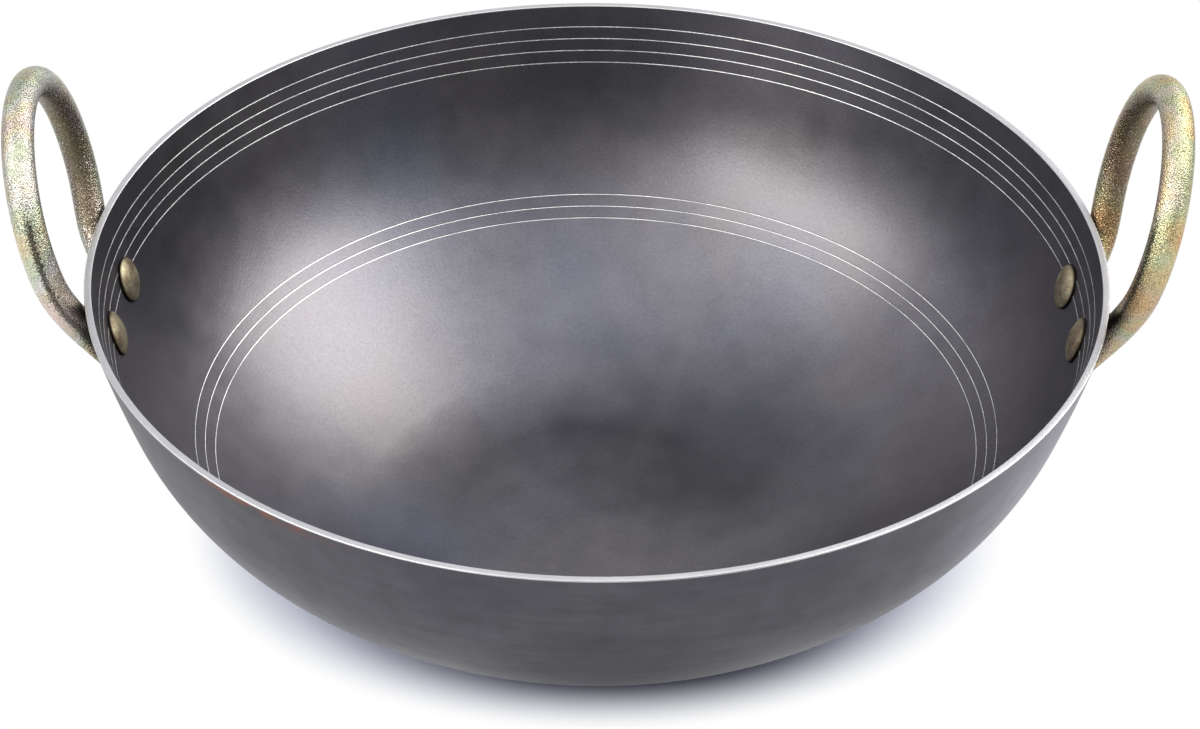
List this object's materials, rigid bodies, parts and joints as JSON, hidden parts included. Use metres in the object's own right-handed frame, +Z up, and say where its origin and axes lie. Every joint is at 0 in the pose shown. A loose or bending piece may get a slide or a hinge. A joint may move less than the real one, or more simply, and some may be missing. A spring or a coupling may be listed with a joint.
{
  "type": "kadai",
  "caption": "Deep round iron pan with a curved wall, a small flat base and fixed bar loop handles riveted to opposite sides, for frying and braising.",
  "frame": {"origin": "centre of the flat base, on the surface the pan stands on", "axes": "+Z up out of the bowl; handles on the X axis, right handle at +X; front towards -Y"},
  "size_m": [0.2926, 0.2598, 0.1349],
  "materials": {
    "bowl_iron": "satin dark seasoned iron sheet with a bright ground rim and bright turned lines",
    "plated_handle": "grainy iron bar with a pale yellow iridescent zinc coat",
    "plated_rivet": "dull olive-yellow zinc coat"
  },
  "bodies": {
    "root": {"bowl": "bowl_iron", "right_handle": "plated_handle", "left_handle": "plated_handle", "right_front_rivet": "plated_rivet", "right_rear_rivet": "plated_rivet", "left_front_rivet": "plated_rivet", "left_rear_rivet": "plated_rivet"}
  },
  "joints": []
}
